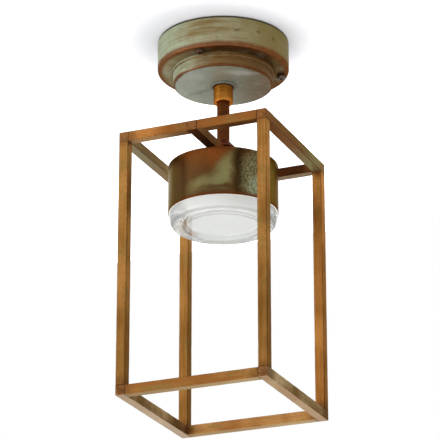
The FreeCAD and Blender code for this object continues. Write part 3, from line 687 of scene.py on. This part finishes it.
# %% Finish each bar for its place
RAIL = "bronzed brass rail, "
# the crossbar and the back top rails lie in shade under the rose: their dark colours are painted shade
SHADED_BAR_COLOURS = ("#40200E", "#5E3418", 0.1)
bar_finish = {}
# the colours of each place are partly painted light: lighter on the lit bars, darker on those in shade
for label, direction, dark, light, green_share, rest, *bars in (
        ("bronzed brass post", ALONG_Z, "#96652C", "#C48C4A", 0.75, {},
         "post_front_left", "post_front_right", "post_back_left"),
        ("bronzed brass post, redder", ALONG_Z, "#AC6C30", "#D8964C", 0.4, {}, "post_back_right"),
        (RAIL + "bottom front", ALONG_X, "#AE7238", "#E2A65E", 0.6, {}, "rail_bottom_front"),
        (RAIL + "bottom back", ALONG_X, "#B4743A", "#E4AC68", 0.5, {}, "rail_bottom_back"),
        (RAIL + "bottom left", ALONG_Y, "#80582E", "#ECCA94", 0.8, {"under": ("#B09C86", "#BCA892")},
         "rail_bottom_left"),
        (RAIL + "bottom right", ALONG_Y, "#A27A46", "#FFE2AE", 0.8, {"under": ("#987C60", "#AC9076")},
         "rail_bottom_right"),
        (RAIL + "top left", ALONG_Y, "#78603E", "#B09870", 0.6,
         {"under": ("#8A8466", "#866848"), "chalk": 0.7}, "rail_top_left"),
        (RAIL + "top right", ALONG_Y, "#5A3618", "#80522A", 0.3,
         {"under": ("#7C4E2A", "#826648"), "chalk": 0.5, "far_green": 0.85}, "rail_top_right"),
        (RAIL + "top front", ALONG_X, "#965C2A", "#C48444", 0.5,
         {"under": ("#A4865E", "#4C3018"), "chalk": 0.5}, "rail_top_front_left", "rail_top_front_right"),
        ("torch-darkened crossbar brass", ALONG_Y, *SHADED_BAR_COLOURS,
         {"under": ("#4E2E18", "#663C22"), "chalk": 0.3, "red_middle": 0.75, "centre_x": 0.0}, "crossbar"),
        ("torch-darkened rail brass", ALONG_X, *SHADED_BAR_COLOURS,
         {"under": ("#8A7258", "#9A846A"), "chalk": 0.8}, "rail_top_back_left", "rail_top_back_right")):
    bar_finish.update(dict.fromkeys(bars, bronzed_bar(label, direction, dark, light, green_share, **rest)))

# %% [markdown]
# ## The cage's bars
#
# Each bar is its own length of metal, so each is its own mesh: a square with rounded arrises,
# carried along the bar. Handling wears the arrises unevenly, so the rounding changes a little
# from station to station. The cut ends are broken by a quarter of a millimetre, which draws the
# fine line seen at each joint.

# %% Build the bars
END_BREAK = 0.22
STATION = 4.0    # mm between sections
ARRIS, WEAR, WEAR_LENGTH = 0.5, 0.35, 9.0
FLAT_HOLD = 0.5


def bar_mesh(low, high, along):
    """A square bar from low to high, in mm, running along one axis."""
    side_a, side_b = [k for k in range(3) if k != along]
    length = high[along] - low[along]
    count = max(2, round(length / STATION))
    places = [(0.0, END_BREAK), (END_BREAK, 0.0), (2 * END_BREAK, 0.0)]
    far_end = [(length - inset, cut) for inset, cut in reversed(places)]
    places += [(length * k / count, 0.0) for k in range(1, count)] + far_end
    points, rings = [], []
    for distance, shrink in places:
        ring = []
        for quarter, (sign_a, sign_b) in enumerate(((1, 1), (-1, 1), (-1, -1), (1, -1))):
            edge_a = (high if sign_a > 0 else low)[side_a] - sign_a * shrink
            edge_b = (high if sign_b > 0 else low)[side_b] - sign_b * shrink
            at = Vector((edge_a, edge_b, low[along] + distance))
            wear = ARRIS + WEAR * max(-0.4, noise.noise(at / WEAR_LENGTH))
            centre = (edge_a - sign_a * wear, edge_b - sign_b * wear)
            turn = math.pi / 2 * quarter
            sine, cosine = FLAT_HOLD * math.sin(turn), FLAT_HOLD * math.cos(turn)
            spots = [(centre[0] + wear * math.cos(t), centre[1] + wear * math.sin(t))
                     for t in (turn + math.pi / 8 * k for k in range(5))]
            spots.insert(0, (spots[0][0] + sine, spots[0][1] - cosine))
            spots.append((spots[-1][0] - cosine, spots[-1][1] - sine))
            for a, b in spots:
                point = [0.0, 0.0, 0.0]
                point[side_a], point[side_b], point[along] = a, b, low[along] + distance
                ring.append(len(points))
                points.append([c * MM for c in point])
        rings.append(ring)
    return points, skin(rings) + [rings[0], rings[-1]]


for bar in [n for n in body_of if n in bar_finish]:
    low, high = (tuple(c / MM for c in end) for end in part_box(bar))
    along = max(range(3), key=lambda k: high[k] - low[k])
    place(bar + "_drawn", bar_mesh(low, high, along), bar_finish[bar], bar)

# %% [markdown]
# ## Brazing
#
# Molten braze is drawn into each inside corner and sets as a small hollow fillet. Each is a short
# prism with a concave face. Its size changes along its length, as a hand-held rod leaves it.
# Where the stem stands on the crossbar, the braze has run out into a wide foot, and the torch has
# turned it red. That is a short cone, so it is spun.

# %% Run a fillet into every inside corner of the cage
FILLET, FILLET_WAVE = 1.3, 3.0
braze_data = ([], [])


def braze(at, first, second, along):
    """A fillet at a point in mm, between faces that run off along first and second."""
    points, faces = braze_data
    rings = []
    for k in range(7):
        here = at + along * (k / 6 - 0.5) * (BAR - 1.0)
        reach = FILLET * (0.85 + 0.45 * noise.noise(here / FILLET_WAVE)) * (1.0 if 0 < k < 6 else 0.55)
        hub = here + (first + second) * reach
        ring = [here - (first + second) * 0.06]
        for step in range(6):
            t = math.pi / 2 * step / 5
            ring.append(hub - first * reach * math.sin(t) - second * reach * math.cos(t))
        rings.append(list(range(len(points), len(points) + len(ring))))
        points.extend([tuple(spot * MM) for spot in ring])
    faces.extend(skin(rings) + [rings[0], rings[-1]])


inner = half_cage - BAR
X, Y, Z = Vector((1, 0, 0)), Vector((0, 1, 0)), Vector((0, 0, 1))
for sx in (-1, 1):
    for sy in (-1, 1):
        for z, sz in ((cage_top - BAR, -1), (cage_low + BAR, 1)):
            braze(Vector((sx * inner, sy * inner, z - sz * BAR / 2)), X * -sx, Y * -sy, Z)
            braze(Vector((sx * inner, sy * (half_cage - BAR / 2), z)), X * -sx, Z * sz, Y)
            braze(Vector((sx * (half_cage - BAR / 2), sy * inner, z)), Y * -sy, Z * sz, X)
        braze(Vector((sx * BAR / 2, sy * inner, cage_top - BAR / 2)), X * sx, Y * -sy, Z)
place("cage_brazing", braze_data, metal("brazing brass, torch darkened", "#8A5B33", "#5F3B22", 0.5, 2.5, 0.15,
                                        metallic=0.7), crease=50)

# %% Spin the stem's foot
FOOT_RADIUS, FOOT_HEIGHT, FOOT_SINK = 12.6, 8.6, 0.3
place("stem_foot", spin(rounded([
    (stem_radius - 0.3, cage_top - FOOT_SINK, 0), (FOOT_RADIUS, cage_top - FOOT_SINK, 0.4),
    (FOOT_RADIUS, cage_top + 1.0, 0.6), (stem_radius + 0.3, cage_top + FOOT_HEIGHT - 1.2, 1.2),
    (stem_radius - 0.3, cage_top + FOOT_HEIGHT, 0)]), 96),
    metal("brazing brass, torch reddened", "#8E4622", "#5C2C14", 0.45, 4.0, 0.2, metallic=0.75), crease=50)

# %% [markdown]
# ## Finish: the drum's patina
#
# The drum is the darkest piece: rust brown above, olive below, and on its right-hand side the
# patina has bloomed into fine green speckles over near-black. Wax makes it glossier than the
# rose. Its zones are ragged patches on the unrolled wall, laid one over the other. Two of the
# patches are painted light: a pale strip down the left edge is a painted highlight, and a
# near-black upright band just right of the front is a painted reflection. The speckles' real
# crystals are some tenths of a millimetre wide, and are drawn at 1.9 mm so that they show.
# The inside is painted white. The studio's lamps can't be traced through the glass, so that
# white gives off a little light of its own, as the lamp's body and the lens seal do.

# %% Patinated brass of the drum
drum_radius, drum_low, drum_top = reach_of("drum_shell")
drum_middle = (drum_low + drum_top) / 2
OLIVE, RUST, UMBER, NEAR_BLACK, VERDIGRIS = "#928C5A", "#86501C", "#624626", "#342A12", "#B2BE9A"
LINING_GLOW = 0.30
# the patches round the wall: place from the lit side and height, size (all mm), lean, colour, share
drum_patches = [
    ((-16, drum_low + 50), (56, 15), 4, "#8E4E1C", 0.9), ((-36, drum_low + 22), (15, 24), 0, UMBER, 0.7),
    ((7, drum_low + 34), (7.4, 18), -20, OLIVE, 0.75), ((0, drum_low + 21), (8, 13), -8, OLIVE, 0.85),
    ((-15, drum_low + 14), (20, 6.8), 6, OLIVE, 0.75), ((4, drum_low + 8), (28, 1.8), 0, "#5E421E", 0.9),
    ((10, drum_low + 20), (4, 18), -4, "#6A4824", 0.4),
    # painted reflection: a near-black upright band just right of the front
    ((17, drum_middle + 4), (7, 30), -4, NEAR_BLACK, 0.92),
    ((-60, drum_middle), (16, 34), 0, "#56442A", 0.8), ((62, drum_middle - 3), (17, 34), 0, "#6E5514", 0.95),
    # the first patch on the next line is a painted highlight: a pale strip down the left edge
    ((-84, drum_middle), (14, 34), 0, "#A09C86", 0.8), ((110, drum_low + 18), (30, 14), 8, OLIVE, 0.7),
    ((165, drum_low + 34), (34, 16), -6, RUST, 0.7)]


def drum_patina(name):
    """Dark waxed patina outside, and white paint inside."""
    material, add, spot = start_finish(name, Specular_IOR_Level=0.3, Coat_Weight=0.03, Coat_Roughness=0.16,
                                       Specular_Tint=linear("#D8C8A4"))
    arc, _, _, z, radius = unrolled(add, spot, drum_radius)
    clouds = add("TexNoise", {"Vector": spot, "Scale": per(16), "Detail": 5, "Roughness": 0.6}, out="Color")
    speckle = add("TexNoise", {"Vector": spot, "Scale": per(1.9), "Detail": 6, "Roughness": 0.7})
    warp = add("VectorMath", {0: clouds, 1: (0.5, 0.5, 0.5)}, operation="SUBTRACT")
    wall_map = ragged_map(add, arc, z, warp, (0.014, 0.014))
    # green bloom in fine crystals, palest low down
    bloom = add("Math", {0: mask(add, blot(add, wall_map, (36, drum_low + 26), (17, 30), -12)),
                         1: mask(add, blot(add, wall_map, (-130, drum_low + 20), (34, 22), 10))},
                operation="MAXIMUM")
    crystals = lay(add, "#5A5230", ("#B8AE7C", (speckle, 0.42, 0.64, 0, 0.75)))
    palest = blot(add, wall_map, (34, drum_low + 12), (9, 8), 10, 0.7)
    # the cap, which no brush of acid has marked, and the paint inside
    up = add("SeparateXYZ", {0: add("TexCoord", out="Normal")}, out="Z")
    cap = lay(add, "#54381A", ("#82562A", (clouds, 0.40, 0.62)))
    paint = lay(add, "#E9E7DF", ("#DDD9CE", (speckle, 0.3, 0.7)))
    # the paint starts within the thickness of the wall and the cap, where its edge can't be seen
    inside = mask(add, (radius, (drum_radius - 0.6) * MM, (drum_radius - 0.9) * MM),
                  (z, (drum_top - 1.2) * MM, (drum_top - 1.6) * MM))
    colour = lay(add, UMBER, ("#6A3F1C", (z, drum_low * MM, drum_top * MM)),
                 *((tone, blot(add, wall_map, centre, size, lean, 0.8, share))
                   for centre, size, lean, tone, share in drum_patches),
                 (crystals, bloom), (VERDIGRIS, palest, (speckle, 0.42, 0.56, 0.15, 0.9)),
                 ("#38270F", (speckle, 0.35, 0.75, 0, 0.22)), (cap, (up, 0.6, 0.9)),
                 ("#6B3A1A", (z, (drum_low + 3.4) * MM, (drum_low + 1.6) * MM, 0, 0.85)), (paint, inside))
    return feed(material, Base_Color=colour, Emission_Strength=mask(add, (inside, 0, 1, 0, LINING_GLOW)),
                Metallic=mask(add, (bloom, 0, 1, 0.90, 0.50), (inside, 0, 1, 1, 0)),
                Roughness=add("MapRange", {0: speckle, 1: 0.3, 2: 0.7, 3: 0.24, 4: 0.40}),
                Normal=add("Bump", {"Strength": 0.2, "Distance": 0.2 * MM, "Height": speckle}))


print(len(drum_patches), "patches are laid round the drum")

# %% [markdown]
# ## The drum
#
# A thin brass can with its open end down. Its top edge is rounded, and a fine line is turned just
# above its lower rim. A spun outline gives all of it, the line included.

# %% Spin the drum
DRUM_WALL, DRUM_CAP, RIM_LINE, LINE_DEPTH = 1.5, 2.5, 1.9, 0.4
hole = stem_radius + 0.1
place("drum_shell_spun", spin(rounded([
    (hole, drum_top, 0), (drum_radius, drum_top, 1.2), (drum_radius, drum_low + RIM_LINE + LINE_DEPTH, 0.1),
    (drum_radius - LINE_DEPTH, drum_low + RIM_LINE, 0.1),
    (drum_radius, drum_low + RIM_LINE - LINE_DEPTH, 0.1), (drum_radius, drum_low, 0.35),
    (drum_radius - DRUM_WALL, drum_low, 0.2),
    (drum_radius - DRUM_WALL, drum_top - DRUM_CAP, 0.5), (hole, drum_top - DRUM_CAP, 0)])),
    drum_patina("patinated brass, drum"), "drum_shell")

# %% [markdown]
# ## The lamp
#
# A flat disc lamp locks up into the drum. Its body is white moulded plastic, and its face an opal
# diffuser. Opal is made by fine particles in clear plastic, and to the eye it is a soft white
# with a satin skin. Scattering below the surface could be traced, but that is slow, and behind the
# lens a pale, slightly mottled base is enough.

# %% Mould the lamp
# the body's faint glow is painted light, standing in for the studio's light that can't be traced through the
# glass
lamp_plastic = metal("white PBT, moulded", "#F4F4F3", "#EFEFEE", 0.35, 6, metallic=0.0,
                     Emission_Strength=LINING_GLOW)
opal = metal("opal polycarbonate", "#F6F6F6", "#F2F2F2", 0.45, 9, metallic=0.0)
BOSS_RADIUS, BOSS_HEIGHT = 20.5, 8.0
lamp_radius, lamp_face, lamp_boss_top = reach_of("lamp_body")
diffuser_radius, diffuser_tip, diffuser_back = reach_of("lamp_diffuser")
lamp_back = lamp_boss_top - BOSS_HEIGHT
place("lamp_body_moulded", spin(rounded([
    (0, lamp_boss_top, 0), (BOSS_RADIUS, lamp_boss_top, 1.0), (BOSS_RADIUS, lamp_back, 0.5),
    (lamp_radius, lamp_back, 3.0), (lamp_radius, lamp_face, 1.5), (diffuser_radius + 0.05, lamp_face, 0.15),
    (diffuser_radius + 0.05, diffuser_back, 0), (0, diffuser_back, 0)]), 192), lamp_plastic, "lamp_body")
crown = [(diffuser_radius * math.sin(math.pi / 24 * k),
          lamp_face - (lamp_face - diffuser_tip) * math.cos(math.pi / 24 * k)) for k in range(13)]
place("lamp_diffuser_opal", spin(crown + [(diffuser_radius, diffuser_back), (0, diffuser_back)], 192), opal,
      "lamp_diffuser")

# %% [markdown]
# ## Pressed glass
#
# The lens is a thick cup of pressed soda-lime glass: a large outer round, a straight bore and a
# thick floor. Such glass has an IOR of 1.52. The value here was lowered to 1.36, which with
# a milky outer wall came nearest to the photograph's soft edge. Three grey rings in the tint are
# painted shade, for the lines that the glass's corners and rounds show. They could be cut into the
# mesh, but a grey in the tint is easier to place. A broad, shallow bump moves the reflections.

# %% Press the lens
NECK_STEP, BORE_STEP, LENS_FLOOR, NECK_HEIGHT, LENS_ROUND = 4.3, 10.8, 5.5, 11.0, 8.0
CLEAR_FLOOR, CLEAR_WALL = 0.94, 0.55
RING_WIDTH, RING_CORE = 2.6, 0.6    # how far from its circle a ring ends, and is full
lens_radius, lens_low, lens_top = reach_of("lens")
neck_radius, lens_bore = lens_radius - NECK_STEP, lens_radius - BORE_STEP
floor_top, shoulder_z = lens_low + LENS_FLOOR, lens_top - NECK_HEIGHT
glass, add, spot = start_finish("pressed soda-lime glass", IOR=1.36, Roughness=0.05)
ripple = add("TexNoise", {"Vector": spot, "Scale": per(14), "Detail": 1})
tint = lay(add, "#F6F7F6", ("#F1F3F2", ripple))
radius, height = from_axis(add, spot), add("SeparateXYZ", {0: spot}, out="Z")
# painted shade: grey rings in the tint for the lines that the glass's corners and rounds show
for ring_radius, ring_z, tone in ((lens_bore - 2.6, floor_top, "#A0A09E"),
                                  (lens_bore - 4.0, lens_low, "#B4B4B2"),
                                  (lens_radius - 2.3, lens_low + 2.3, "#C4C4C2")):
    away = from_circle(add, radius, height, ring_radius, ring_z)
    tint = lay(add, tint, (tone, (away, RING_WIDTH * MM, RING_CORE * MM, 0, 0.85)))
clear = mask(add, (radius, (lens_bore + 2.0) * MM, (lens_radius - 1.5) * MM, CLEAR_FLOOR, CLEAR_WALL))
feed(glass, Base_Color=tint, Transmission_Weight=clear,
     Normal=add("Bump", {"Strength": 0.15, "Distance": 0.4 * MM, "Height": ripple}))
place("lens_pressed", spin(rounded([
    (0, lens_low, 0), (lens_radius, lens_low, LENS_ROUND), (lens_radius, shoulder_z, 0.6),
    (neck_radius, shoulder_z, 0.3), (neck_radius, lens_top, 0.8), (lens_bore, lens_top, 0.8),
    (lens_bore, floor_top, 2.0), (0, floor_top, 0)], 10)), glass, "lens")

# %% [markdown]
# ## Finishes of the inner pieces
#
# The rest keep their CAD shape: plates, nuts, the terminal block and the lampholder are plain
# stampings and mouldings. Each gets its own finish all the same, because the rose's inside shows
# from above and the drum's when the lens is lowered. The lens seal is drawn pale, as no dark ring
# shows above the glass.

# %% Give the inner nodes their finishes
finish_of_slot = {
    "turned_brass": lathed_brass("turned brass", "#C39B52", "#A9813D", 0.3, 0.0),
    "stainless_steel": stainless,
    "zinc_steel": metal("zinc-plated steel", "#B4B7B8", "#8F9396", 0.32, 5),
    "epdm": metal("EPDM rubber", "#3E3428", "#2C251C", 0.62, 1.0, 0.06, metallic=0.0),
    "black_nylon": metal("black nylon, moulded", "#1D1A17", "#292420", 0.5, 1.2, 0.05, metallic=0.0),
    "white_nylon": metal("natural nylon, moulded", "#DCD9CF", "#CFCBBE", 0.42, 2.0, 0.03, metallic=0.0),
    "flex_sheath": metal("rubber flex sheath", "#2B2A29", "#363433", 0.55, 1.5, 0.05, metallic=0.0),
}
own_finish = {
    "drum_nipple": lathed_brass("torch-reddened brass", "#8C4A20", "#63300F", 0.45, 0.0),
    # the seal's faint glow is painted light, standing in for the studio's light that can't be traced through
    # the glass
    "lens_seal": metal("pale EPDM rubber, lens seal", "#E6E6E2", "#DADAD4", 0.5, 2.0, 0.04, metallic=0.0,
                       Emission_Strength=LINING_GLOW),
}
left_as_cad = [name for name in body_of if not frame["nodes"][name].hide_render]
for name in left_as_cad:
    shape = frame["nodes"][name]
    finish = own_finish.get(name) or finish_of_slot[slot_of[name]]
    if not shape.material_slots:
        shape.data.materials.append(finish)
    for material_slot in shape.material_slots:
        material_slot.material = finish
print(len(left_as_cad), "nodes keep their CAD shape")

# %% [markdown]
# ## Studio
#
# The lantern hangs from a white ceiling, and a pale floor lies well below it. The ceiling glows
# away from the rose, which leaves the soft shade that the photograph has round it. The ceiling's
# back is clear, and so is a round hole in it over the rose, so a look from above still finds the
# rose. The light is a pale sky, darker on the right, with a large soft lamp on the left. What is
# seen through the glass is brighter, which stands in for the lamp's own light.

# %% Lay the floor
FLOOR_Z, FLOOR_SIZE, CEILING_Z, CEILING_SIZE = -3.2, 20.0, 0.0004, 1.1
FLOOR_GLOW, THROUGH_GLASS = 0.75, 1.35


def stage_plane(name, size, z, finish):
    """A square that belongs to the studio."""
    mesh = bpy.data.meshes.new(name)
    r = size / 2
    mesh.from_pydata([(-r, r, z), (r, r, z), (r, -r, z), (-r, -r, z)], [], [(0, 1, 2, 3)])
    mesh.materials.append(finish)
    new_object(name, mesh)
    print(name, "is", size, "m wide")


floor_paint, add, spot = start_finish("pale floor paint", Roughness=0.8)
grit = add("TexNoise", {"Vector": spot, "Scale": per(300), "Detail": 3})
shade = lay(add, "#EDEDEC", ("#E6E6E5", grit))
refracted = add("LightPath", out="Is Transmission Ray")
feed(floor_paint, Base_Color=shade, Emission_Color=shade,
     Emission_Strength=add("MapRange", {0: refracted, 3: FLOOR_GLOW, 4: THROUGH_GLASS}))
stage_plane("studio_floor", FLOOR_SIZE, FLOOR_Z, floor_paint)

# %% Hang the ceiling
SHADE_MIDDLE = (-0.0030, -0.0133, 0)    # the rose's shade is darkest in front
SHADE_START, SHADE_END, CEILING_GLOW = 0.058, 0.160, 0.8
ceiling_paint, add, spot = start_finish("white ceiling paint", Roughness=0.9, Base_Color=linear("#F0F1F7"),
                                        Emission_Color=linear("#FFFFFF"))
from_shade = from_axis(add, add("VectorMath", {0: spot, 1: SHADE_MIDDLE}, operation="SUBTRACT"))
feed(ceiling_paint, Emission_Strength=mask(add, (from_shade, SHADE_START, SHADE_END, 0, CEILING_GLOW),
                                           add("LightPath", out="Is Camera Ray")))
over_rose = add("Math", {0: from_axis(add, spot), 1: (cup_radius - 1) * MM}, operation="LESS_THAN")
unseen = add("Math", {0: over_rose, 1: add("NewGeometry", out="Backfacing")}, operation="MAXIMUM")
tree = ceiling_paint.node_tree
paint = tree.nodes["Principled BSDF"].outputs[0]
painted = add("MixShader", {0: unseen, 1: paint, 2: add("BsdfTransparent")})
tree.links.new(painted, tree.nodes["Material Output"].inputs["Surface"])
stage_plane("studio_ceiling", CEILING_SIZE, CEILING_Z, ceiling_paint)

# %% Light the studio
DARK_SIDE = Vector((0.85, -0.5, 0.15)).normalized()
SKY_LIGHT, SKY_DARK = 0.50, 0.12
world = bpy.data.worlds.new("studio")
scene.world = world
world.use_nodes = True
add = partial(node, world.node_tree)
toward = add("VectorMath", {0: add("TexCoord", out="Generated"), 1: DARK_SIDE}, out="Value",
             operation="DOT_PRODUCT")
dim = mask(add, (toward, -0.6, 0.9, SKY_LIGHT, SKY_DARK))
path = add("LightPath").node.outputs
seen_direct = add("Math", {0: path["Is Camera Ray"], 1: path["Is Singular Ray"]}, operation="MAXIMUM")
level = add("MapRange", {0: seen_direct, 3: dim, 4: 1.0})
level = add("MapRange", {0: path["Is Transmission Ray"], 3: level, 4: THROUGH_GLASS})
background = world.node_tree.nodes["Background"].inputs
background["Color"].default_value = (1, 1, 1, 1)
world.node_tree.links.new(level, background["Strength"])

HEART = Vector((0, 0, -0.2))    # what the lamps are aimed at
for name, at, size, watts in (("key", (-1.9, -1.9, -0.6), 1.4, 26), ("fill", (2.0, -0.9, -1.0), 1.2, 3),
                              ("floor_bounce", (0.0, -0.2, -1.9), 2.2, 12)):
    lamp = new_object(name, bpy.data.lights.new(name, "AREA"))
    lamp.data.size, lamp.data.energy = size, watts
    lamp.location = at
    lamp.rotation_euler = (Vector(at) - HEART).to_track_quat("Z", "Y").to_euler()
scene.view_settings.view_transform = "Standard"
scene.view_settings.look = "None"
print("the sky goes from", SKY_LIGHT, "to", SKY_DARK)
